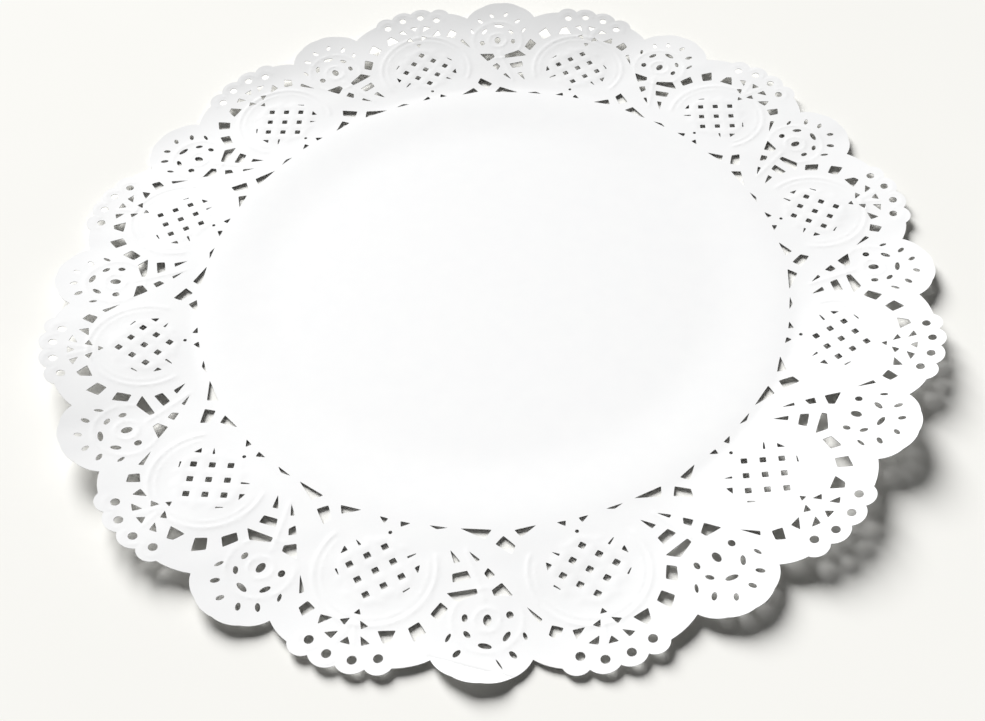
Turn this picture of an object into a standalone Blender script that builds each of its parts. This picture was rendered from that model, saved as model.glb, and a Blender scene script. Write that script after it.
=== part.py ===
"""Lace doily: one die-cut sheet of white paper.

It has a plain round centre, an openwork border of twelve like repeats, and a
scalloped edge. Each repeat holds a medallion with a fan and four round holes
below it, a ladder of slots on its right, and a rosette in a lobe of its own.
The sheet lies flat under its plain centre, and its border lifts in three uneven waves.
"""

import math
from collections import namedtuple

import bmesh
import bpy
from mathutils import Vector

MM = 0.001

# Driving dimensions. The doily's centre is the origin, and its front faces -Y.
SHEET_THICKNESS = 1.0 * MM
WELD_DISTANCE = 0.02 * MM
REPEATS = 12
FIRST_REPEAT_AT = math.radians(-77)  # the first medallion's direction from the centre
MEDALLION_RADIUS = 119.5 * MM        # from the doily's centre to each medallion's
TIP_RADIUS = 152.5 * MM              # to the tips of the scallops
CENTRE_RADIUS = 90.0 * MM            # the sheet rests flat on the table within this
CENTRE_CORNERS = 36

# From the flat centre the sheet rises a little to the border's first openings, and
# from there the border lifts in waves. These are heights at the scallop tips.
OPENINGS_RADIUS = 102.0 * MM
BORDER_RISE = 0.8 * MM
WAVES_RADIUS = 104.0 * MM
WAVES = 3
WAVE_CREST_AT = math.radians(90)
WAVE_HEIGHT = 6.3 * MM               # a crest above the troughs beside it
TIP_CURL = 1.8 * MM                  # the upward curl that crests and troughs share
WAVE_STEEPNESS = 1.2                 # powers of the way out across the border
CURL_STEEPNESS = 3.5

# The paper's uneven swells and hollows on top of the waves: their direction from the
# centre and their spread to either side, in degrees, and their millimetres at the tips
Swell = namedtuple("Swell", "at spread height")
SWELLS = (
    Swell(0, 13, -1.8),
    Swell(36, 9, 0.7),
    Swell(64, 10, -2.2),
    Swell(126, 8, 1.0),
    Swell(153, 9, -1.1),
    Swell(194, 14, 3.0),
    Swell(244, 14, -2.4),
    Swell(281, 14, -1.2),
    Swell(325, 17, 2.0),
)

# The scalloped edge of one repeat, in order, each row an arc from the row before.
# Places are in millimetres from the medallion's centre, across to the right and
# outwards; bulge is how far the arc stands out from its chord.
EdgeArc = namedtuple("EdgeArc", "across out bulge steps")
LEFT_NOTCH = (-22.7, 23.1)
MEDALLION_EDGE = (
    EdgeArc(-15.7, 27.8, 0.5, 2),    # left shoulder
    EdgeArc(-8.6, 30.2, 2.0, 5),     # four scallops
    EdgeArc(-0.1, 31.2, 2.0, 5),
    EdgeArc(8.1, 30.2, 2.0, 5),
    EdgeArc(15.2, 28.0, 2.0, 5),
    EdgeArc(24.6, 22.9, 0.6, 3),     # right shoulder
)
ROSETTE_LOBE_BULGE = 7.7             # from the right notch to the next left notch
ROSETTE_SCALLOPS = 4
ROSETTE_SCALLOP_BULGE = 0.8
ROSETTE_SCALLOP_STEPS = 4

# Slots and windows, in millimetres and degrees. A slot's middle is across and out
# from the medallion's centre. It runs by turn, anticlockwise from across, and is
# start wide where it begins and end wide where it ends; an end of 0 is a point.
# The leans tilt the two ends away from square.
Slot = namedtuple("Slot", "across out turn length start end start_lean end_lean")
SLOTS = {
    # along the plain centre
    "inner sliver": Slot(13.1, -18.1, 103, 1.1, 5.7, 0.0, -19, 0),
    "inner fin": Slot(23.9, -19.7, 179, 8.6, 3.7, 0.0, 18, 0),
    "inner window": Slot(34.4, -17.7, 23, 5.4, 3.6, 3.0, 1, -18),
    "inner spur": Slot(38.8, -24.3, -43, 6.2, 3.2, 0.0, -12, 0),
    # the ladder between two medallions
    "left spike": Slot(20.6, -10.2, -133, 4.8, 1.9, 0.0, 11, 0),
    "right spike": Slot(26.2, -11.7, -147, 4.3, 1.3, 0.0, 8, 0),
    "short rung": Slot(24.6, -4.4, -29, 4.9, 2.8, 2.8, 8, -12),
    "long rung": Slot(27.4, 0.9, -31, 7.4, 4.3, 1.7, -31, 3),
    "small pane": Slot(32.2, -7.2, 35, 2.8, 2.2, 2.4, -22, 1),
    "kite": Slot(36.9, -2.7, 41, 3.6, 3.7, 5.4, -7, 33),
    # round the medallion's outer side, from right to left
    "first pane": Slot(22.2, 7.9, 107, 4.7, 3.0, 3.6, 10, 13),
    "second pane": Slot(18.0, 15.3, 126, 3.9, 4.1, 4.7, 5, 13),
    "third pane": Slot(10.5, 19.1, 70, 3.8, 5.1, 2.0, 3, -13),
    "fan corner": Slot(-8.8, 18.8, 115, 3.4, 3.7, 0.0, -24, 0),
    "last pane": Slot(-14.6, 16.6, 125, 3.7, 3.4, 3.0, -6, 12),
    "side spike": Slot(-19.0, 9.6, -117, 6.1, 1.6, 0.0, -15, 0),
}

# Round and oval holes: the four in the scallops, and the rosette's, whose places
# are given as an angle and a distance from its middle
Oval = namedtuple("Oval", "across out turn length width corners")
SCALLOP_HOLES = (
    Oval(-10.0, 25.6, 0, 2.8, 2.8, 8),
    Oval(-3.7, 28.4, 0, 2.8, 2.8, 8),
    Oval(3.8, 28.4, 0, 2.8, 2.8, 8),
    Oval(10.6, 26.1, 0, 2.8, 2.8, 8),
)
ROSETTE_MIDDLE = (36.0, 7.0)
Petal = namedtuple("Petal", "angle distance turn length width corners")
ROSETTE_HOLES = {
    "middle": Petal(0, 0.0, 75, 3.6, 2.4, 10),
    "outer petal": Petal(78, 8.0, -3, 4.1, 1.8, 8),
    "right petal": Petal(27, 7.5, 105, 3.5, 1.7, 6),
    "top petal": Petal(-29, 6.5, 60, 2.5, 2.1, 6),
    "rim petal": Petal(40, 13.0, 32, 3.0, 1.6, 6),
}

PAPER_WHITE = (0.93, 0.93, 0.92, 1.0)
PAPER_ROUGHNESS = 0.6


def clear_scene():
    for old in list(bpy.data.objects):
        bpy.data.objects.remove(old, do_unlink=True)


def place(across, out, repeat):
    """A point of one repeat, given in millimetres from its medallion's centre."""
    direction = FIRST_REPEAT_AT + repeat * math.tau / REPEATS
    outwards = Vector((math.cos(direction), math.sin(direction)))
    rightwards = Vector((-math.sin(direction), math.cos(direction)))
    return outwards * (MEDALLION_RADIUS + out * MM) + rightwards * across * MM


def turned(vector, angle):
    cosine, sine = math.cos(angle), math.sin(angle)
    return Vector((vector.x * cosine - vector.y * sine, vector.x * sine + vector.y * cosine))


def arc(start, end, bulge, steps):
    """Points from start up to, but without, end on an arc that bulges outwards."""
    chord = end - start
    radius = (chord.length_squared / 4 + bulge ** 2) / (2 * bulge)
    outwards = Vector((chord.y, -chord.x)).normalized()
    middle = (start + end) / 2 + outwards * (bulge - radius)
    sweep = (start - middle).angle_signed(end - middle)
    spoke = start - middle
    return [middle + turned(spoke, -sweep * step / steps) for step in range(steps)]


def medallion_edge(repeat):
    """The shoulders and the four scallops below one medallion."""
    points = []
    start = place(*LEFT_NOTCH, repeat)
    for row in MEDALLION_EDGE:
        end = place(row.across, row.out, repeat)
        points += arc(start, end, row.bulge * MM, row.steps)
        start = end
    return points


def rosette_edge(repeat):
    """The lobe round one rosette: shallow scallops that stand on one wide arc."""
    start = place(MEDALLION_EDGE[-1].across, MEDALLION_EDGE[-1].out, repeat)
    end = place(*LEFT_NOTCH, repeat + 1)
    joints = arc(start, end, ROSETTE_LOBE_BULGE * MM, ROSETTE_SCALLOPS) + [end]
    points = []
    for left, right in zip(joints, joints[1:]):
        points += arc(left, right, ROSETTE_SCALLOP_BULGE * MM, ROSETTE_SCALLOP_STEPS)
    return points


def slot_outline(slot, repeat):
    """The three or four corners of a slot."""
    turn = math.radians(slot.turn)
    along = Vector((math.cos(turn), math.sin(turn))) * slot.length / 2
    middle = Vector((slot.across, slot.out))
    ends = ((middle - along, slot.start, slot.start_lean), (middle + along, slot.end, slot.end_lean))
    corners = []
    for side, (end, width, lean) in zip((-1, 1), ends):
        slant = turn + math.pi / 2 + math.radians(lean)
        half = Vector((math.cos(slant), math.sin(slant))) * width / 2
        corners += [end] if width == 0 else [end + half * side, end - half * side]
    return [place(corner.x, corner.y, repeat) for corner in corners]


def oval_outline(oval, repeat):
    """The corners of a round or oval hole."""
    turn = math.radians(oval.turn)
    corners = []
    for corner in range(oval.corners):
        angle = math.tau * corner / oval.corners
        spoke = Vector((oval.length / 2 * math.cos(angle), oval.width / 2 * math.sin(angle)))
        corners.append(Vector((oval.across, oval.out)) + turned(spoke, turn))
    return [place(corner.x, corner.y, repeat) for corner in corners]


def rosette_oval(petal):
    """A rosette's hole, placed from the medallion's centre like the others."""
    angle = math.radians(petal.angle)
    across = ROSETTE_MIDDLE[0] + petal.distance * math.cos(angle)
    out = ROSETTE_MIDDLE[1] + petal.distance * math.sin(angle)
    return Oval(across, out, petal.turn, petal.length, petal.width, petal.corners)


def border_outlines():
    """The scalloped edge, the seat of the plain centre, and the openings of every repeat."""
    ovals = list(SCALLOP_HOLES) + [rosette_oval(petal) for petal in ROSETTE_HOLES.values()]
    edge, openings = [], []
    for repeat in range(REPEATS):
        edge += medallion_edge(repeat) + rosette_edge(repeat)
        openings += [slot_outline(slot, repeat) for slot in SLOTS.values()]
        openings += [oval_outline(oval, repeat) for oval in ovals]
    return [edge, centre_outline()] + openings


def centre_outline():
    spoke = Vector((CENTRE_RADIUS, 0.0))
    return [turned(spoke, math.tau * corner / CENTRE_CORNERS) for corner in range(CENTRE_CORNERS)]


def add_outline(curve, points):
    spline = curve.splines.new("POLY")
    spline.points.add(len(points) - 1)
    for point, corner in zip(spline.points, points):
        point.co = (corner.x, corner.y, 0.0, 1.0)
    spline.use_cyclic_u = True


def cut_plate(outlines):
    """A flat plate inside the first outline and outside the others, on the ground plane."""
    curve = bpy.data.curves.new("outline", "CURVE")
    curve.dimensions = "2D"
    curve.fill_mode = "BOTH"
    curve.extrude = SHEET_THICKNESS / 2
    for points in outlines:
        add_outline(curve, points)
    flat = bpy.data.objects.new("outline", curve)
    bpy.context.scene.collection.objects.link(flat)
    flat.location.z = SHEET_THICKNESS / 2
    bpy.context.view_layer.update()
    mesh = bpy.data.meshes.new_from_object(flat.evaluated_get(bpy.context.evaluated_depsgraph_get()))
    mesh.transform(flat.matrix_world)
    bpy.data.objects.remove(flat)
    plate = bmesh.new()
    plate.from_mesh(mesh)
    bmesh.ops.remove_doubles(plate, verts=plate.verts, dist=WELD_DISTANCE)
    even_out(plate)
    plate.to_mesh(mesh)
    plate.free()
    return mesh


def even_out(plate):
    """Turn the long thin triangles of both faces, so that the plate bends smoothly."""
    for side in (-1, 1):
        level = {face for face in plate.faces if face.normal.z * side > 0.5}
        inner = [edge for edge in plate.edges if level.issuperset(edge.link_faces)]
        bmesh.ops.beautify_fill(plate, faces=list(level), edges=inner)


def weld_plates(border, centre):
    """One closed mesh of the border and the plain centre, without the walls between them."""
    sheet = bmesh.new()
    sheet.from_mesh(border)
    sheet.from_mesh(centre)
    bmesh.ops.remove_doubles(sheet, verts=sheet.verts, dist=WELD_DISTANCE)
    seam = {vertex for vertex in sheet.verts if vertex.co.xy.length < CENTRE_RADIUS + WELD_DISTANCE}
    walls = [face for face in sheet.faces if seam.issuperset(face.verts) and abs(face.normal.z) < 0.5]
    bmesh.ops.delete(sheet, geom=walls, context="FACES")
    mesh = bpy.data.meshes.new("doily")
    sheet.to_mesh(mesh)
    sheet.free()
    return mesh


def way_out(radius, start, end):
    """0 up to the start radius, 1 from the end radius on, and even steps between."""
    return min(max((radius - start) / (end - start), 0.0), 1.0)


def swell(angle):
    """The height of the uneven swells at the tips in one direction."""
    total = 0.0
    for row in SWELLS:
        beside = math.remainder(angle - math.radians(row.at), math.tau)
        total += row.height * MM * math.exp(-(beside / math.radians(row.spread)) ** 2)
    return total


def lift(x, y):
    """How far the sheet's underside stands above the table."""
    radius = math.hypot(x, y)
    angle = math.atan2(y, x)
    rise = BORDER_RISE * way_out(radius, CENTRE_RADIUS, OPENINGS_RADIUS)
    wave = WAVE_HEIGHT * (1 + math.cos(WAVES * (angle - WAVE_CREST_AT))) / 2 + swell(angle)
    across_border = way_out(radius, WAVES_RADIUS, TIP_RADIUS)
    return rise + TIP_CURL * across_border ** CURL_STEEPNESS + wave * across_border ** WAVE_STEEPNESS


def kept_radius(radius, height):
    """The share of its radius that lifted paper keeps, because it doesn't stretch."""
    if radius <= WAVES_RADIUS:
        return 1.0
    length = radius - WAVES_RADIUS
    return (WAVES_RADIUS + math.sqrt(length ** 2 - (height - BORDER_RISE) ** 2)) / radius


def wave_border(mesh):
    for vertex in mesh.vertices:
        x, y, z = vertex.co
        height = lift(x, y)
        share = kept_radius(math.hypot(x, y), height)
        vertex.co = (x * share, y * share, z + height)


def white_paper():
    material = bpy.data.materials.new("white_paper")
    material.use_nodes = True
    shader = material.node_tree.nodes["Principled BSDF"]
    shader.inputs["Base Color"].default_value = PAPER_WHITE
    shader.inputs["Roughness"].default_value = PAPER_ROUGHNESS
    shader.inputs["Metallic"].default_value = 0.0
    return material


def main():
    clear_scene()
    mesh = weld_plates(cut_plate(border_outlines()), cut_plate([centre_outline()]))
    wave_border(mesh)
    mesh.materials.append(white_paper())
    collection = bpy.data.collections.new("lace_doily")
    collection.objects.link(bpy.data.objects.new("doily", mesh))
    bpy.context.scene.collection.children.link(collection)


main()
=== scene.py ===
"""Lace doily: one sheet of embossed, die-cut white paper, lying on a pale table.

The sheet's upper and under face start as the same flat outline, with every opening
of the lace in it. Each is cut as fine as its own detail needs. Both are lifted in
the border's waves, the upper one takes the low relief, and the cuts are walled from
one to the other. Sizes in the tables are millimetres, and places in them are counted
from a medallion's centre: across to the right and out towards the doily's edge.
"""

import math
from collections import namedtuple

import bmesh
import bpy
import numpy as np
from mathutils import Matrix, Vector


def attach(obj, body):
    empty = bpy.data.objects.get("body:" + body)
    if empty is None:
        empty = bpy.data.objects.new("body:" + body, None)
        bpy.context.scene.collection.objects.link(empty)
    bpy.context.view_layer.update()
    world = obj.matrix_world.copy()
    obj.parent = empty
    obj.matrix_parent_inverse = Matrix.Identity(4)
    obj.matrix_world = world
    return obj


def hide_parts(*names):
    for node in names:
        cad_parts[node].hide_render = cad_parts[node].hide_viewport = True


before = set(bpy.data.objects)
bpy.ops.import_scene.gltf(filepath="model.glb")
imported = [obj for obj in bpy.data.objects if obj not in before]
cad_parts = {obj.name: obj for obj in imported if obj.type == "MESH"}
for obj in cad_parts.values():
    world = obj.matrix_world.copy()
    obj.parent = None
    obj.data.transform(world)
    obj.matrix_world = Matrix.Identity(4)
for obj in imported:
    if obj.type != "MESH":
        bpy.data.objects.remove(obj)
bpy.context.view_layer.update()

bl_info = {
    "name": "Lace Doily",
    "version": (1, 0, 0),
    "blender": (4, 5, 0),
    "location": "View3D > Sidebar > Doily",
    "description": "Builds a round paper lace doily with its embossed border, and a pale table under it",
    "category": "Add Mesh",
}

MM = 0.001

# The doily's plan, in millimetres. Its centre is the origin, and its front faces -Y.
REPEATS = 12
FIRST_REPEAT_AT = math.radians(-77)  # the first medallion's direction from the centre
MEDALLION_RADIUS = 119.5             # from the doily's centre to each medallion's

# The scalloped edge of one repeat: each row is an arc from the row before, and its
# bulge is how far the arc stands out from its chord
EdgeArc = namedtuple("EdgeArc", "across out bulge steps")
LEFT_NOTCH = (-22.7, 23.1)
MEDALLION_EDGE = (
    EdgeArc(-15.7, 27.8, 0.5, 5),    # left shoulder
    EdgeArc(-8.6, 30.2, 2.0, 9),     # four scallops
    EdgeArc(-0.1, 31.2, 2.0, 10),
    EdgeArc(8.1, 30.2, 2.0, 10),
    EdgeArc(15.2, 28.0, 2.0, 9),
    EdgeArc(24.6, 22.9, 0.6, 6),     # right shoulder
)
ROSETTE_LOBE_BULGE = 7.7             # from the right notch to the next left notch
ROSETTE_SCALLOPS = 4
ROSETTE_SCALLOP_BULGE = 0.8
ROSETTE_SCALLOP_STEPS = 8

# Slots, windows and triangles. A slot's middle is across and out. It runs by turn,
# in degrees anticlockwise from across, and is start wide where it begins and end
# wide where it ends; a width of 0 is a point. The leans tilt its two ends.
Slot = namedtuple("Slot", "across out turn length start end start_lean end_lean")
SLOTS = {
    # along the plain centre
    "inner sliver": Slot(13.1, -18.1, 103, 1.1, 5.7, 0.0, -19, 0),
    "inner fin": Slot(23.9, -19.7, 179, 8.6, 3.7, 0.0, 18, 0),
    "inner window": Slot(34.4, -17.7, 23, 5.4, 3.6, 3.0, 1, -18),
    "inner spur": Slot(38.8, -24.3, -43, 6.2, 3.2, 0.0, -12, 0),
    "left inner tooth": Slot(-3.2, -16.6, 68, 2.1, 2.8, 0.0, 24, 0),
    "right inner tooth": Slot(2.8, -16.6, 115, 2.1, 3.2, 0.0, -27, 0),
    # the ladder between two medallions
    "left spike": Slot(20.6, -10.2, -133, 4.8, 1.9, 0.0, 11, 0),
    "right spike": Slot(26.2, -11.7, -147, 4.3, 1.3, 0.0, 8, 0),
    "short rung": Slot(24.6, -4.4, -29, 4.9, 2.8, 2.8, 8, -12),
    "long rung": Slot(27.4, 0.9, -31, 7.4, 4.3, 1.7, -31, 3),
    "small pane": Slot(32.2, -7.2, 35, 2.8, 2.2, 2.4, -22, 1),
    "kite": Slot(36.9, -2.7, 41, 3.6, 3.7, 5.4, -7, 33),
    # round the medallion's outer side, from right to left
    "first pane": Slot(22.2, 7.9, 107, 4.7, 3.0, 3.6, 10, 13),
    "second pane": Slot(18.0, 15.3, 126, 3.9, 4.1, 4.7, 5, 13),
    "third pane": Slot(10.5, 19.1, 70, 3.8, 5.1, 2.0, 3, -13),
    "fan corner": Slot(-8.8, 18.8, 115, 3.4, 3.7, 0.0, -24, 0),
    "last pane": Slot(-14.6, 16.6, 125, 3.7, 3.4, 3.0, -6, 12),
    "side spike": Slot(-19.0, 9.6, -117, 6.1, 1.6, 0.0, -15, 0),
    # the fan below the medallion
    "fan point": Slot(0.0, 13.6, -90, 1.8, 2.2, 0.0, 0, 0),
    "fan upper left": Slot(-2.5, 17.7, 73, 2.1, 3.0, 0.0, -7, 0),
    "fan upper right": Slot(2.9, 17.8, 96, 2.0, 3.2, 0.0, 16, 0),
    "fan lower left": Slot(-4.6, 22.6, 68, 2.2, 4.0, 0.0, 0, 0),
    "fan lower middle": Slot(0.0, 22.9, -90, 2.3, 3.1, 0.0, 0, 0),
    "fan lower right": Slot(4.9, 22.6, 101, 2.1, 3.8, 0.0, 14, 0),
    # where the lattice meets the medallion's round border
    "lattice left": Slot(-10.8, -4.2, -5, 1.7, 2.9, 0.0, 9, 0),
    "lattice right": Slot(11.5, -3.6, -172, 1.5, 3.0, 0.0, -17, 0),
    "lattice upper left": Slot(-8.1, -7.6, -141, 2.6, 0.9, 0.0, 0, 0),
    "lattice upper right": Slot(8.7, -7.3, -42, 2.8, 0.8, 0.3, 0, 0),
    "lattice lower left": Slot(-10.5, 3.2, 48, 2.4, 0.6, 0.3, 0, 0),
    "lattice lower right": Slot(10.9, 3.7, -49, 2.4, 0.6, 0.3, 0, 0),
}
SIDE_BOW = 0.03                      # how far a slot's straight sides bow out
ROUNDED_SHARE = 0.35                 # the most of a side that either corner takes

# The lattice: three rows of three small squares that stand on their corners
LATTICE_MIDDLE = (0.1, 0.0)
LATTICE_STEP = (4.0, 4.05)
LATTICE_HALF_DIAGONAL = 1.42

# Round and oval holes
Oval = namedtuple("Oval", "across out turn length width")
OVAL_CORNERS = 14
ROUND_HOLES = (
    Oval(0.0, -13.1, 0, 1.2, 1.2),   # between the lattice and the plain centre
    Oval(-10.0, 25.6, 0, 2.8, 2.8),  # one in each of the four scallops
    Oval(-3.7, 28.4, 0, 2.8, 2.8),
    Oval(3.8, 28.4, 0, 2.8, 2.8),
    Oval(10.6, 26.1, 0, 2.8, 2.8),
)

# The rosette's holes, by their angle and distance from its middle
ROSETTE_MIDDLE = (36.0, 7.0)
Petal = namedtuple("Petal", "angle distance turn length width")
PETALS = {
    "middle": Petal(0, 0.0, 75, 3.6, 2.4),
    "inner 1": Petal(171, 6.4, 75, 2.5, 1.7),
    "inner 2": Petal(126, 7.1, 35, 2.7, 1.5),
    "inner 3": Petal(78, 8.0, -3, 4.0, 1.7),
    "inner 4": Petal(27, 7.5, 105, 3.4, 1.6),
    "inner 5": Petal(-29, 6.5, 60, 2.4, 2.1),
    "outer 1": Petal(138, 12.0, 100, 2.9, 1.1),
    "outer 2": Petal(113, 13.1, 118, 2.8, 1.6),
    "outer 3": Petal(88, 14.3, 105, 2.5, 1.5),
    "outer 4": Petal(63.5, 13.7, 45, 2.6, 1.5),
    "outer 5": Petal(40, 13.0, 32, 2.9, 1.5),
    "outer 6": Petal(10, 11.8, 55, 2.6, 1.1),
}

# The front lobe's tip is bent up along a crease, from one place across to another and
# fading at its ends, and two of its holes were left uncut but for a slit
CREASED_REPEAT = 11
CREASE_OUT = 22.1
CREASE_FROM, CREASE_TO = 24.0, 47.0
CREASE_START_FADE, CREASE_END_FADE = 1.0, 4.0
CREASE_SLOPE = 0.34                  # rise of the tip for each step out
CREASE_WIDTH = 0.8
CREASE_DEPTH = 0.13 * MM
UNCUT = ("outer 3", "outer 4")
SLIT = Oval(43.1, 19.1, 42, 3.6, 0.5)

# The embossing: cords that run round a middle from start to start plus sweep, in
# degrees anticlockwise from across, and straight ribs. Heights are shares of the relief.
Cord = namedtuple("Cord", "across out radius start sweep width height")
CORDS = (
    Cord(0.0, 0.0, 17.9, -35, 250, 1.2, 1.0),                 # medallion's border
    Cord(0.0, 0.0, 15.6, -30, 240, 0.8, 0.5),
    Cord(*ROSETTE_MIDDLE, 3.7, 0, 360, 0.9, 0.9),             # rosette
    Cord(*ROSETTE_MIDDLE, 10.1, 0, 360, 0.9, 0.7),
    Cord(-10.0, 25.6, 3.1, 20, 180, 0.8, 0.6),                # scallops
    Cord(-3.7, 28.4, 3.1, 5, 180, 0.8, 0.6),
    Cord(3.8, 28.4, 3.1, -5, 180, 0.8, 0.6),
    Cord(10.6, 26.1, 3.1, -20, 180, 0.8, 0.6),
)
CORD_FADE = 8                        # the degrees over which a cord's ends sink away
Rib = namedtuple("Rib", "across out turn length width height")
RIBS = (
    Rib(28.5, -6.0, 55, 20.0, 1.1, 0.8),                      # beside the ladder
    Rib(-1.4, 20.5, 105.6, 10.0, 0.9, 0.6),                   # fan
    Rib(1.4, 20.5, 74.4, 10.0, 0.9, 0.6),
)
RIB_FADE = 2.0
WEAVE_RADIUS = 12.5                  # the woven lattice
WEAVE_FADE = 2.5
WEAVE_HEIGHT = 0.8
RELIEF_ACROSS = 55.0                 # no repeat's relief reaches further to either side,
RELIEF_INWARDS = 30.0                # or further in from its medallion's centre

# Small soft crinkles, each a share of their height and the product of two ripples. A
# ripple's x and y are the millimetres along them for one radian of it. The first one
# snakes to and fro by that many radians, and the second is shifted by some.
Crinkle = namedtuple("Crinkle", "share first_x first_y snake snake_y second_x second_y shift")
CRINKLES = (
    Crinkle(1.0, 9.0, math.inf, 2.1, 23.0, math.inf, 11.0, 0.7),
    Crinkle(0.35, 4.1, -9.5, 1.3, 7.0, 13.0, 5.3, 0.0),
)

# Rings on the sheet. The border's rise lies between the first two.
REST_RADIUS = 74 * MM                # the sheet lies flat on the table within this
OPENINGS_RADIUS = 102 * MM           # the border's first openings
WAVES_RADIUS = 104 * MM              # where its waves begin
TIP_RADIUS = 152.5 * MM              # the scallops' tips, while the sheet is flat

# The waves, and powers of the way out across the border
WAVES = 3
WAVE_CREST_AT = math.radians(90)
WAVE_STEEPNESS = 1.2
CURL_STEEPNESS = 3.5

# The paper's uneven swells and hollows on top of the waves: their direction from the
# centre and their spread to either side, in degrees, and their millimetres at the tips
Swell = namedtuple("Swell", "at spread height")
SWELLS = (
    Swell(0, 13, -1.8),
    Swell(36, 9, 0.7),
    Swell(64, 10, -2.2),
    Swell(126, 8, 1.0),
    Swell(153, 9, -1.1),
    Swell(194, 14, 3.0),
    Swell(244, 14, -2.4),
    Swell(281, 14, -1.2),
    Swell(325, 17, 2.0),
)

# The mesh
MOST_ROUNDS = 12                     # of cutting edges, and of turning faces back
SMOOTHINGS = 4
TOO_LONG = 1.4                       # an edge over this many times its wanted length is cut
MESH_GROWTH = 0.4                    # edges lengthen by this share of the way inwards
UNDER_MESH = 2.5                     # edges of the under face, against the upper one's
FINE_FROM = 0.03                     # the share of the relief's height where fine mesh starts
CREASE_MESH = 0.35 * MM
WELD = 0.01 * MM
RIM_WELD = WELD / 10
SHARP_ANGLE = math.radians(50)

# The paper's finish
FIBRE_DETAIL = 4.0
CLOUD_DETAIL = 3.0
CLOUD_SIZE = 22                      # the width of a cloud in the pulp, in fibre widths
CLOUD_SHARE = 0.7                    # of the paper's tone; the rest is its fibres'
ROUGHNESS_SPREAD = 0.16              # from the smoothest fibre to the roughest
PAPER_SPECULAR = 0.35

# The sockets of a Mix node that blends colours
MIX_FACTOR, MIX_FIRST, MIX_SECOND = 0, 6, 7
MIX_RESULT = 2

# The table and the room
TONE_SIZE = 90 * MM                  # the width of a patch of the table's faint tone
TONE_DETAIL = 2.0
DARKEST_TONE = 0.975
TABLE_ROUGHNESS = 0.8
TABLE_SPECULAR = 0.2
TABLE_GAP = 0.05 * MM                # keeps the table clear of the sheet's underside
ROOM_COLOUR = (1.0, 1.0, 0.985, 1.0)

# The camera, fitted to the photograph's 985 x 721 frame
FRAME_WIDTH = 985
SENSOR_WIDTH = 36.0
FOCAL_PIXELS = 1227.6
AXIS_RIGHT_OF_MIDDLE = 44.5
CAMERA_AT = (14.0 * MM, -294.2 * MM, 311.8 * MM)
CAMERA_DOWN = math.radians(50.51)
CAMERA_ROLL = math.radians(-2.09)


class DoilySheet(bpy.types.PropertyGroup):
    """Sizes of the paper sheet."""

    thickness: bpy.props.FloatProperty(
        name="Thickness", description="Thickness of the paper", default=0.25 * MM, unit="LENGTH")
    border_rise: bpy.props.FloatProperty(
        name="Border Rise", description="Height of the border's first openings over the table",
        default=0.8 * MM, unit="LENGTH")
    wave_height: bpy.props.FloatProperty(
        name="Wave Height", description="Height of a crest at the tips over the troughs beside it",
        default=6.3 * MM, unit="LENGTH")
    tip_curl: bpy.props.FloatProperty(
        name="Tip Curl", description="Upward curl of the tips that crests and troughs share",
        default=1.8 * MM, unit="LENGTH")
    crinkle: bpy.props.FloatProperty(
        name="Crinkle", description="Height of the border's small soft crinkles",
        default=0.12 * MM, unit="LENGTH")
    relief: bpy.props.FloatProperty(
        name="Relief", description="Height of the embossed cords and weave",
        default=0.1 * MM, unit="LENGTH")
    corner: bpy.props.FloatProperty(
        name="Corner Rounding", description="How far a cut corner is rounded off",
        default=0.32 * MM, unit="LENGTH")
    relief_mesh: bpy.props.FloatProperty(
        name="Relief Mesh", description="Length of the upper face's edges on the embossing",
        default=0.85 * MM, unit="LENGTH")
    border_mesh: bpy.props.FloatProperty(
        name="Border Mesh", description="Length of the edges along the cuts and between the embossing",
        default=1.8 * MM, unit="LENGTH")
    plain_mesh: bpy.props.FloatProperty(
        name="Plain Mesh", description="Length of the edges in the middle of the plain centre",
        default=9 * MM, unit="LENGTH")


class DoilyPaper(bpy.types.PropertyGroup):
    """Finish of the paper."""

    colour: bpy.props.FloatVectorProperty(
        name="Colour", description="Colour of the white paper",
        default=(0.86, 0.86, 0.856, 1.0), size=4, subtype="COLOR")
    cloud_colour: bpy.props.FloatVectorProperty(
        name="Cloud Colour", description="Colour where the pulp lies thinner",
        default=(0.817, 0.819, 0.826, 1.0), size=4, subtype="COLOR")
    roughness: bpy.props.FloatProperty(
        name="Roughness", description="Roughness of the paper's face", default=0.62, subtype="FACTOR")
    fibre: bpy.props.FloatProperty(
        name="Fibre Width", description="Width of the fibres in the paper's grain",
        default=0.3 * MM, unit="LENGTH")
    grain: bpy.props.FloatProperty(
        name="Grain Depth", description="Depth of the paper's grain",
        default=0.012 * MM, unit="LENGTH")


class DoilyStage(bpy.types.PropertyGroup):
    """The table and the light."""

    table_colour: bpy.props.FloatVectorProperty(
        name="Table Colour", description="Colour of the pale table",
        default=(0.86, 0.853, 0.82, 1.0), size=4, subtype="COLOR")
    table_size: bpy.props.FloatProperty(
        name="Table Size", description="Width of the table", default=8.0, unit="LENGTH")
    sky: bpy.props.FloatProperty(
        name="Sky", description="Strength of the light from all round", default=0.08)
    backdrop: bpy.props.FloatProperty(
        name="Backdrop", description="Brightness of the room behind the table", default=0.92)
    sun: bpy.props.FloatProperty(
        name="Window", description="Strength of the light from behind", default=5.3)
    sun_height: bpy.props.FloatProperty(
        name="Window Height", description="Angle of that light above the table",
        default=math.radians(37), subtype="ANGLE")
    sun_side: bpy.props.FloatProperty(
        name="Window Side", description="Angle of that light to the left of straight behind",
        default=math.radians(30), subtype="ANGLE")
    sun_softness: bpy.props.FloatProperty(
        name="Window Softness", description="Width of that light as the doily sees it",
        default=math.radians(35), subtype="ANGLE")


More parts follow.
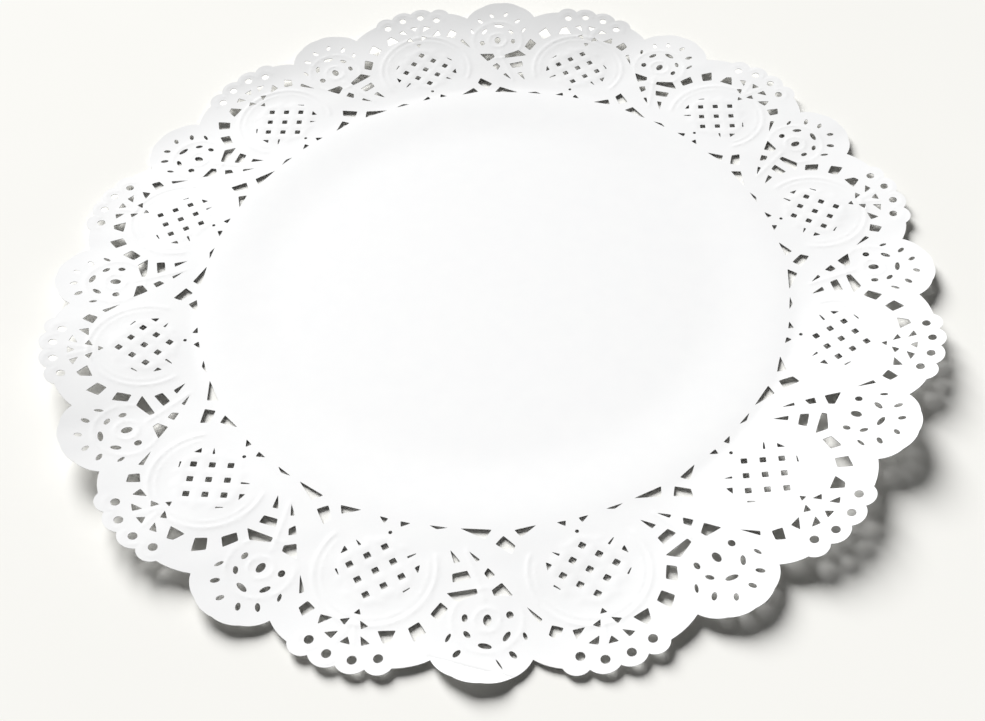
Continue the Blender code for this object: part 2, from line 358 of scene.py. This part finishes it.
def turned(vector, angle):
    """A flat vector, turned anticlockwise."""
    return Matrix.Rotation(angle, 2) @ vector


def arc(start, end, bulge, steps):
    """Points from start up to, but without, end on an arc that bulges outwards."""
    chord = end - start
    radius = (chord.length_squared / 4 + bulge**2) / (2 * bulge)
    outwards = Vector((-chord.y, chord.x)).normalized()
    middle = (start + end) / 2 + outwards * (bulge - radius)
    spoke = start - middle
    sweep = spoke.angle_signed(end - middle)
    return [middle + turned(spoke, -sweep * step / steps) for step in range(steps)]


def place(point, repeat):
    """A point of one repeat's plan, in metres from the doily's centre."""
    direction = FIRST_REPEAT_AT + repeat * math.tau / REPEATS
    outwards = Vector((math.cos(direction), math.sin(direction)))
    rightwards = Vector((-math.sin(direction), math.cos(direction)))
    return (outwards * (MEDALLION_RADIUS + point.y) + rightwards * point.x) * MM


def next_repeat(point):
    """A point that the next repeat's plan gives, in this repeat's plan."""
    across, out = turned(Vector((point[0], -point[1] - MEDALLION_RADIUS)), math.tau / REPEATS)
    return Vector((across, -out - MEDALLION_RADIUS))


def edge_outline():
    """The medallion's scallops, then the rosette's lobe with its shallow ones."""
    points = []
    start = Vector(LEFT_NOTCH)
    for row in MEDALLION_EDGE:
        end = Vector((row.across, row.out))
        points += arc(start, end, row.bulge, row.steps)
        start = end
    end = next_repeat(LEFT_NOTCH)
    joints = arc(start, end, ROSETTE_LOBE_BULGE, ROSETTE_SCALLOPS) + [end]
    for left, right in zip(joints, joints[1:]):
        points += arc(left, right, ROSETTE_SCALLOP_BULGE, ROSETTE_SCALLOP_STEPS)
    return points


def slot_outline(slot, sizes):
    """The three or four corners of a slot, rounded off."""
    turn = math.radians(slot.turn)
    along = turned(Vector((slot.length / 2, 0)), turn)
    middle = Vector((slot.across, slot.out))
    corners = []
    for side, width, lean in ((-1, slot.start, slot.start_lean), (1, slot.end, slot.end_lean)):
        end = middle + side * along
        half = turned(Vector((width / 2, 0)), turn + math.pi / 2 + math.radians(lean))
        corners += [end] if width == 0 else [end + half * side, end - half * side]
    return cut_line(corners, sizes)


def cut_line(corners, sizes):
    """An outline whose corners are small curves, and whose sides bow out a little."""
    middle = sum(corners, Vector((0, 0))) / len(corners)
    points = []
    for before, corner, after in zip(corners[-1:] + corners[:-1], corners, corners[1:] + corners[:1]):
        near = []
        for side in (before - corner, after - corner):
            near.append(corner + side * min(ROUNDED_SHARE, sizes.corner / MM / side.length))
        points += [near[0], (near[0] + 2 * corner + near[1]) / 4, near[1]]
    line = []
    for start, end in zip(points, points[1:] + points[:1]):
        parts = math.ceil((end - start).length * MM / sizes.border_mesh)
        outwards = (end - start).orthogonal().normalized()
        if outwards.dot(start - middle) < 0:
            outwards.negate()
        line.append(start)
        line += [start.lerp(end, part / parts) + outwards * SIDE_BOW for part in range(1, parts)]
    return line


def oval_outline(oval):
    """A round or oval hole."""
    points = []
    for corner in range(OVAL_CORNERS):
        angle = math.tau * corner / OVAL_CORNERS
        spoke = Vector((oval.length / 2 * math.cos(angle), oval.width / 2 * math.sin(angle)))
        points.append(Vector((oval.across, oval.out)) + turned(spoke, math.radians(oval.turn)))
    return points


def rosette_oval(petal):
    """A rosette's hole, placed from the medallion's centre like the others."""
    spoke = turned(Vector((petal.distance, 0)), math.radians(petal.angle))
    across, out = Vector(ROSETTE_MIDDLE) + spoke
    return Oval(across, out, petal.turn, petal.length, petal.width)


def lattice_squares(sizes):
    """The lattice's nine squares."""
    half = LATTICE_HALF_DIAGONAL
    tips = ((half, 0), (0, half), (-half, 0), (0, -half))
    squares = []
    for row in (-1, 0, 1):
        for column in (-1, 0, 1):
            across = LATTICE_MIDDLE[0] + LATTICE_STEP[0] * (row - column)
            out = LATTICE_MIDDLE[1] + LATTICE_STEP[1] * (row + column)
            squares.append(cut_line([Vector((across + x, out + y)) for x, y in tips], sizes))
    return squares


def openings_of(repeat, sizes):
    """Every opening of one repeat, in its plan."""
    creased = repeat == CREASED_REPEAT
    petals = [petal for name, petal in PETALS.items() if not (creased and name in UNCUT)]
    ovals = list(ROUND_HOLES) + [SLIT] * creased + [rosette_oval(petal) for petal in petals]
    openings = [slot_outline(slot, sizes) for slot in SLOTS.values()]
    return openings + lattice_squares(sizes) + [oval_outline(oval) for oval in ovals]


def cut_lines(sizes):
    """The doily's whole edge and then each of its openings, in metres."""
    edge, openings = [], []
    for repeat in range(REPEATS):
        edge += [place(point, repeat) for point in edge_outline()]
        for opening in openings_of(repeat, sizes):
            openings.append([place(point, repeat) for point in opening])
    return [edge] + openings


def flat_sheet(sizes):
    """The cut sheet as a bmesh, flat on the ground plane."""
    curve = bpy.data.curves.new("doily_outline", "CURVE")
    curve.dimensions = "2D"
    curve.fill_mode = "BOTH"
    for points in cut_lines(sizes):
        spline = curve.splines.new("POLY")
        spline.points.add(len(points) - 1)
        spline.points.foreach_set("co", [value for point in points for value in (*point, 0.0, 1.0)])
        spline.use_cyclic_u = True
    outline = bpy.data.objects.new("doily_outline", curve)
    bpy.context.scene.collection.objects.link(outline)
    bpy.context.view_layer.update()
    filled = outline.evaluated_get(bpy.context.evaluated_depsgraph_get())
    mesh = bpy.data.meshes.new_from_object(filled)
    sheet = bmesh.new()
    sheet.from_mesh(mesh)
    bpy.data.objects.remove(outline)
    bpy.data.curves.remove(curve)
    bpy.data.meshes.remove(mesh)
    bmesh.ops.remove_doubles(sheet, verts=sheet.verts, dist=WELD)
    return sheet


def inwards_of_openings(points):
    """How far in from the border's first openings some places are."""
    return np.clip(OPENINGS_RADIUS - np.hypot(*points.T), 0, None)


def upper_lengths(points, sizes):
    """How long the upper face's edges may be at some places on it."""
    plain = sizes.border_mesh + inwards_of_openings(points) * MESH_GROWTH
    lengths = np.minimum(sizes.plain_mesh, plain)
    lengths = np.where(np.abs(embossing(points)) > FINE_FROM, sizes.relief_mesh, lengths)
    return np.where(groove(points) > FINE_FROM, CREASE_MESH, lengths)


def lower_lengths(points, sizes):
    """How long the under face's edges may be at some places on it."""
    plain = UNDER_MESH * sizes.border_mesh + inwards_of_openings(points) * MESH_GROWTH
    return np.minimum(sizes.plain_mesh, plain)


def refine(sheet, lengths, sizes):
    """Cut and turn the inner edges until they are as short as is wanted where they lie."""
    for _ in range(MOST_ROUNDS):
        inner = [edge for edge in sheet.edges if not edge.is_boundary]
        ends = np.array([[edge.verts[0].co.xy, edge.verts[1].co.xy] for edge in inner])
        spans = np.linalg.norm(ends[:, 0] - ends[:, 1], axis=1)
        too_long = np.flatnonzero(spans > TOO_LONG * lengths(ends.mean(axis=1), sizes))
        if not too_long.size:
            break
        bmesh.ops.subdivide_edges(sheet, edges=[inner[index] for index in too_long], cuts=1)
        bmesh.ops.triangulate(sheet, faces=[face for face in sheet.faces if len(face.verts) > 3])
        even_out(sheet)
    loose = [vertex for vertex in sheet.verts if not vertex.is_boundary]
    for _ in range(SMOOTHINGS):
        before = {vertex: vertex.co.copy() for vertex in loose}
        bmesh.ops.smooth_vert(sheet, verts=loose, factor=0.5, use_axis_x=True, use_axis_y=True)
        turn_back(sheet, before)
        even_out(sheet)


def turn_back(sheet, before):
    """Move the corners of faces that a smoothing turned over to where they were before it."""
    for _ in range(MOST_ROUNDS):
        sheet.normal_update()
        over = [face for face in sheet.faces if face.normal.z <= 0]
        for vertex in {vertex for face in over for vertex in face.verts}:
            vertex.co = before.get(vertex, vertex.co)
        if not over:
            break


def even_out(sheet):
    """Turn the inner edges that make a better pair of triangles the other way."""
    inner = [edge for edge in sheet.edges if not edge.is_boundary]
    bmesh.ops.beautify_fill(sheet, faces=sheet.faces, edges=inner)


def smooth_step(values, start, end):
    """0 up to start, 1 from end on, and a smooth ramp between."""
    ramp = np.clip((values - start) / (end - start), 0, 1)
    return ramp * ramp * (3 - 2 * ramp)


def in_plan(points, repeat):
    """Places on the sheet, as across and out in that repeat's plan, in millimetres."""
    direction = FIRST_REPEAT_AT + repeat * math.tau / REPEATS
    x, y = points.T / MM
    across = y * math.cos(direction) - x * math.sin(direction)
    out = x * math.cos(direction) + y * math.sin(direction) - MEDALLION_RADIUS
    return across, out


def underside(points, sizes):
    """How high the sheet's underside stands over the table."""
    radius = np.hypot(*points.T)
    angle = np.arctan2(points[:, 1], points[:, 0])
    across_border = np.clip((radius - WAVES_RADIUS) / (TIP_RADIUS - WAVES_RADIUS), 0, 1)
    rise = sizes.border_rise * smooth_step(radius, REST_RADIUS, OPENINGS_RADIUS)
    curl = sizes.tip_curl * across_border**CURL_STEEPNESS
    wave = sizes.wave_height * (1 + np.cos(WAVES * (angle - WAVE_CREST_AT))) / 2
    for swell in SWELLS:
        beside = (np.degrees(angle) - swell.at + 180) % 360 - 180
        wave += swell.height * MM * np.exp(-((beside / swell.spread) ** 2))
    wave *= across_border**WAVE_STEEPNESS
    return np.clip(rise + curl + wave + crinkles(points, sizes) + bent_tip(points), 0, None)


def crinkles(points, sizes):
    """Small soft crinkles in the border, as handled paper has."""
    x, y = points.T / MM
    height = np.zeros(len(points))
    for row in CRINKLES:
        first = np.sin(x / row.first_x + y / row.first_y + row.snake * np.sin(y / row.snake_y))
        second = np.sin(x / row.second_x + y / row.second_y + row.shift)
        height += row.share * first * second
    in_border = smooth_step(np.hypot(*points.T), OPENINGS_RADIUS, MEDALLION_RADIUS * MM)
    return sizes.crinkle * in_border * height


def along_crease(points):
    """1 on the front lobe's tip, 0 off it, and how far out from its crease a place is."""
    across, out = in_plan(points, CREASED_REPEAT)
    from_start = smooth_step(across, CREASE_FROM - CREASE_START_FADE, CREASE_FROM)
    past_end = smooth_step(across, CREASE_TO, CREASE_TO + CREASE_END_FADE)
    return from_start * (1 - past_end), out - CREASE_OUT


def bent_tip(points):
    """The front lobe's tip, bent up along its crease."""
    inside, beyond = along_crease(points)
    return np.clip(beyond, 0, None) * CREASE_SLOPE * inside * MM


def groove(points):
    """The crease itself, as a share of its depth."""
    inside, beyond = along_crease(points)
    return inside * ridge(beyond, CREASE_WIDTH)


def ridge(distance, width):
    """A rounded section of that width."""
    return np.exp(-((2 * distance / width) ** 2))


def cord_relief(across, out, cord):
    """A cord's height, as a share of the relief."""
    x, y = across - cord.across, out - cord.out
    from_middle = np.degrees(np.arctan2(y, x)) - cord.start - cord.sweep / 2
    off_middle = np.abs((from_middle + 180) % 360 - 180)
    end = cord.sweep / 2
    shown = 1.0 if cord.sweep == 360 else 1 - smooth_step(off_middle, end - CORD_FADE, end)
    return cord.height * ridge(np.hypot(x, y) - cord.radius, cord.width) * shown


def rib_relief(across, out, rib):
    """A rib's height, as a share of the relief."""
    turn = math.radians(rib.turn)
    x, y = across - rib.across, out - rib.out
    along = x * math.cos(turn) + y * math.sin(turn)
    beside = y * math.cos(turn) - x * math.sin(turn)
    shown = 1 - smooth_step(np.abs(along), rib.length / 2 - RIB_FADE, rib.length / 2)
    return rib.height * ridge(beside, rib.width) * shown


def weave_relief(across, out):
    """The lattice's bars, rounded as if they were woven threads."""
    x = (across - LATTICE_MIDDLE[0]) / LATTICE_STEP[0]
    y = (out - LATTICE_MIDDLE[1]) / LATTICE_STEP[1]
    bars = np.maximum(hump((y + x) / 2), hump((y - x) / 2))
    reach = np.hypot(across - LATTICE_MIDDLE[0], out - LATTICE_MIDDLE[1])
    return WEAVE_HEIGHT * bars * (1 - smooth_step(reach, WEAVE_RADIUS - WEAVE_FADE, WEAVE_RADIUS))


def hump(steps):
    """0 at each whole step, and 1 halfway between two."""
    return 0.5 - 0.5 * np.cos(math.tau * steps)


def embossing(points):
    """The low relief of every repeat, as a share of its full height."""
    height = np.zeros(len(points))
    for repeat in range(REPEATS):
        across, out = in_plan(points, repeat)
        near = np.flatnonzero((np.abs(across) < RELIEF_ACROSS) & (out > -RELIEF_INWARDS))
        across, out = across[near], out[near]
        relief = weave_relief(across, out)
        for cord in CORDS:
            relief = relief + cord_relief(across, out, cord)
        for rib in RIBS:
            relief = relief + rib_relief(across, out, rib)
        height[near] += relief
    return height


def upper_face(points, sizes):
    """How high the sheet's upper face stands over the table."""
    relief = sizes.relief * embossing(points) - CREASE_DEPTH * groove(points)
    return underside(points, sizes) + sizes.thickness + relief


def lift(vertices, height, sizes):
    """Lift flat points to their height, and draw them in, because paper doesn't stretch."""
    places = np.array([vertex.co.xy for vertex in vertices])
    radius = np.hypot(*places.T)
    length = np.clip(radius - WAVES_RADIUS, 0, None)
    lifted = np.clip(underside(places, sizes) - sizes.border_rise, 0, length / 2)
    share = np.where(length > 0, (WAVES_RADIUS + np.sqrt(length**2 - lifted**2)) / radius, 1)
    for vertex, x, y, z in zip(vertices, *(places.T * share), height(places, sizes)):
        vertex.co = (x, y, z)


def raised_sheet(upper, lower, sizes):
    """Lift the two flat faces, and wall the cut edges from one face to the other."""
    top = list(upper.verts)
    cuts = [edge for edge in upper.edges if edge.is_boundary]
    walls = bmesh.ops.extrude_edge_only(upper, edges=cuts)["geom"]
    lift(top, upper_face, sizes)
    lift([item for item in walls if isinstance(item, bmesh.types.BMVert)], underside, sizes)
    lift(lower.verts, underside, sizes)
    under = bpy.data.meshes.new("under_face")
    lower.to_mesh(under)
    lower.free()
    upper.from_mesh(under)
    bpy.data.meshes.remove(under)
    rim = [vertex for vertex in upper.verts if vertex.is_boundary]
    bmesh.ops.remove_doubles(upper, verts=rim, dist=RIM_WELD)
    bmesh.ops.recalc_face_normals(upper, faces=upper.faces)
    put_in_order(upper.verts, lambda vertex: vertex.co)
    put_in_order(upper.faces, lambda face: face.calc_center_median())
    return upper


def put_in_order(items, spot):
    """Order vertices or faces by where they lie, because an extrusion leaves them in any order."""
    for rank, item in enumerate(sorted(items, key=lambda item: tuple(spot(item)))):
        item.index = rank
    items.sort()


class Socket:
    """A shader value. Python's operators on it add Math nodes, and add() adds any other node."""

    def __init__(self, tree, source):
        self.tree = tree
        self.source = source

    def add(self, kind, settings, inputs, output=0):
        """A new node with its settings, then its sockets' values or links; gives one output."""
        node = self.tree.nodes.new(kind)
        for name, value in settings.items():
            setattr(node, name, value)
        feed(node, inputs)
        return Socket(self.tree, node.outputs[output])

    def math(self, operation, first, second):
        """A new Math node."""
        return self.add("ShaderNodeMath", {"operation": operation}, {0: first, 1: second})

    def __add__(self, other):
        return self.math("ADD", self, other)

    def __radd__(self, other):
        return self.math("ADD", other, self)

    def __mul__(self, other):
        return self.math("MULTIPLY", self, other)

    def __rmul__(self, other):
        return self.math("MULTIPLY", other, self)


def feed(node, inputs):
    """Values and links for a node's sockets."""
    for name, value in inputs.items():
        if isinstance(value, Socket):
            value.tree.links.new(value.source, node.inputs[name])
        else:
            node.inputs[name].default_value = value


def new_material(name):
    """A material, its Principled shader and its object coordinates."""
    material = bpy.data.materials.new(name)
    material.use_nodes = True
    tree = material.node_tree
    shader = tree.nodes["Principled BSDF"]
    coordinates = tree.nodes.new("ShaderNodeTexCoord")
    return material, shader, Socket(tree, coordinates.outputs["Object"])


def noise(coordinates, size, detail):
    """Noise whose grains are about that size, from 0 to 1."""
    inputs = {"Vector": coordinates, "Scale": 1 / size, "Detail": detail}
    return coordinates.add("ShaderNodeTexNoise", {}, inputs)


def colour_between(share, first, second):
    """The first colour where share is 0, the second where it is 1, and all between."""
    inputs = {MIX_FACTOR: share, MIX_FIRST: tuple(first), MIX_SECOND: tuple(second)}
    return share.add("ShaderNodeMix", {"data_type": "RGBA"}, inputs, output=MIX_RESULT)


def white_paper(finish):
    """Matt white paper: a fine felted grain, and faint clouds where the pulp lies thinner."""
    material, shader, coordinates = new_material("white_paper")
    fibres = noise(coordinates, finish.fibre, FIBRE_DETAIL)
    clouds = noise(coordinates, finish.fibre * CLOUD_SIZE, CLOUD_DETAIL)
    thin = clouds * CLOUD_SHARE + fibres * (1 - CLOUD_SHARE)
    bump = {"Strength": 1.0, "Distance": finish.grain, "Height": fibres}
    feed(shader, {
        "Base Color": colour_between(thin, finish.colour, finish.cloud_colour),
        "Roughness": fibres * ROUGHNESS_SPREAD + (finish.roughness - ROUGHNESS_SPREAD / 2),
        "Specular IOR Level": PAPER_SPECULAR,
        "Normal": fibres.add("ShaderNodeBump", {}, bump),
    })
    return material


def pale_table(stage):
    """A plain pale table with a faint unevenness of tone."""
    material, shader, coordinates = new_material("pale_table")
    tone = noise(coordinates, TONE_SIZE, TONE_DETAIL)
    darker = tuple(DARKEST_TONE * value for value in stage.table_colour[:3]) + (1.0,)
    feed(shader, {
        "Base Color": colour_between(tone, stage.table_colour, darker),
        "Roughness": TABLE_ROUGHNESS,
        "Specular IOR Level": TABLE_SPECULAR,
    })
    return material


class DOILY_OT_paper_sheet(bpy.types.Operator):
    """Build the doily's one paper sheet"""

    bl_idname = "doily.paper_sheet"
    bl_label = "Paper Sheet"

    def execute(self, context):
        sizes = context.scene.doily_sheet
        upper = flat_sheet(sizes)
        flat_area = sum(face.calc_area() for face in upper.faces)
        lower = upper.copy()
        refine(upper, upper_lengths, sizes)
        refine(lower, lower_lengths, sizes)
        sheet = raised_sheet(upper, lower, sizes)
        open_edges = sum(not edge.is_manifold for edge in sheet.edges)
        if open_edges:
            raise RuntimeError(f"the paper sheet has {open_edges} open edges")
        mesh = bpy.data.meshes.new("paper_doily")
        sheet.to_mesh(mesh)
        sheet.free()
        mesh.shade_smooth()
        mesh.set_sharp_from_angle(angle=SHARP_ANGLE)
        mesh.materials.append(white_paper(context.scene.doily_paper))
        doily = bpy.data.objects.new("paper_doily", mesh)
        context.scene.collection.objects.link(doily)
        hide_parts("doily")
        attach(doily, "root")
        return {"FINISHED"}


class DOILY_OT_stage(bpy.types.Operator):
    """Set the pale table, the soft light from behind and the camera"""

    bl_idname = "doily.stage"
    bl_label = "Table, Light and Camera"

    def execute(self, context):
        stage = context.scene.doily_stage
        self.set_table(context.scene, stage)
        self.set_light(context.scene, stage)
        self.set_room(context.scene, stage)
        self.set_camera(context.scene)
        return {"FINISHED"}

    def set_table(self, scene, stage):
        top = bmesh.new()
        bmesh.ops.create_grid(top, x_segments=1, y_segments=1, size=stage.table_size / 2)
        bmesh.ops.translate(top, verts=top.verts, vec=(0, 0, -TABLE_GAP))
        mesh = bpy.data.meshes.new("table_top")
        top.to_mesh(mesh)
        top.free()
        mesh.materials.append(pale_table(stage))
        table = bpy.data.objects.new("table_top", mesh)
        scene.collection.objects.link(table)

    def set_light(self, scene, stage):
        """One soft light from behind, low enough to leave the openings dark."""
        light = bpy.data.lights.new("window_light", "SUN")
        light.energy = stage.sun
        light.angle = stage.sun_softness
        lamp = bpy.data.objects.new("window_light", light)
        across = math.sin(stage.sun_side) * math.cos(stage.sun_height)
        behind = math.cos(stage.sun_side) * math.cos(stage.sun_height)
        towards = Vector((-across, behind, math.sin(stage.sun_height)))
        lamp.rotation_euler = towards.to_track_quat("Z", "Y").to_euler()
        scene.collection.objects.link(lamp)

    def set_room(self, scene, stage):
        """A dim light from all round, and a bright backdrop that is seen but gives no light."""
        world = bpy.data.worlds.new("soft_room")
        world.use_nodes = True
        tree = world.node_tree
        seen = Socket(tree, tree.nodes.new("ShaderNodeLightPath").outputs["Is Camera Ray"])
        feed(tree.nodes["Background"], {
            "Color": ROOM_COLOUR,
            "Strength": seen * (stage.backdrop - stage.sky) + stage.sky,
        })
        scene.world = world
        scene.view_settings.view_transform = "Standard"

    def set_camera(self, scene):
        lens = bpy.data.cameras.new("photo_view")
        lens.sensor_width = SENSOR_WIDTH
        lens.lens = SENSOR_WIDTH * FOCAL_PIXELS / FRAME_WIDTH
        lens.shift_x = -AXIS_RIGHT_OF_MIDDLE / FRAME_WIDTH
        camera = bpy.data.objects.new("photo_view", lens)
        camera.location = CAMERA_AT
        tilt = Matrix.Rotation(math.pi / 2 - CAMERA_DOWN, 3, "X")
        camera.rotation_euler = (tilt @ Matrix.Rotation(CAMERA_ROLL, 3, "Z")).to_euler()
        scene.collection.objects.link(camera)
        scene.camera = camera


class DOILY_PT_panel(bpy.types.Panel):
    """Lists the doily's pieces and their sizes"""

    bl_idname = "DOILY_PT_panel"
    bl_label = "Lace Doily"
    bl_space_type = "VIEW_3D"
    bl_region_type = "UI"
    bl_category = "Doily"

    def draw(self, context):
        scene = context.scene
        for operator, groups in STEPS:
            self.layout.operator(operator)
            for group in groups:
                values = getattr(scene, group)
                for name in values.__annotations__:
                    self.layout.prop(values, name)


STEPS = (
    ("doily.paper_sheet", ("doily_sheet", "doily_paper")),
    ("doily.stage", ("doily_stage",)),
)
GROUPS = {"doily_sheet": DoilySheet, "doily_paper": DoilyPaper, "doily_stage": DoilyStage}
CLASSES = (*GROUPS.values(), DOILY_OT_paper_sheet, DOILY_OT_stage, DOILY_PT_panel)


def register():
    for item in CLASSES:
        bpy.utils.register_class(item)
    for name, group in GROUPS.items():
        setattr(bpy.types.Scene, name, bpy.props.PointerProperty(type=group))


def unregister():
    for name in GROUPS:
        delattr(bpy.types.Scene, name)
    for item in reversed(CLASSES):
        bpy.utils.unregister_class(item)


def main():
    register()
    bpy.ops.doily.paper_sheet()
    bpy.ops.doily.stage()


if __name__ == "__main__":
    main()
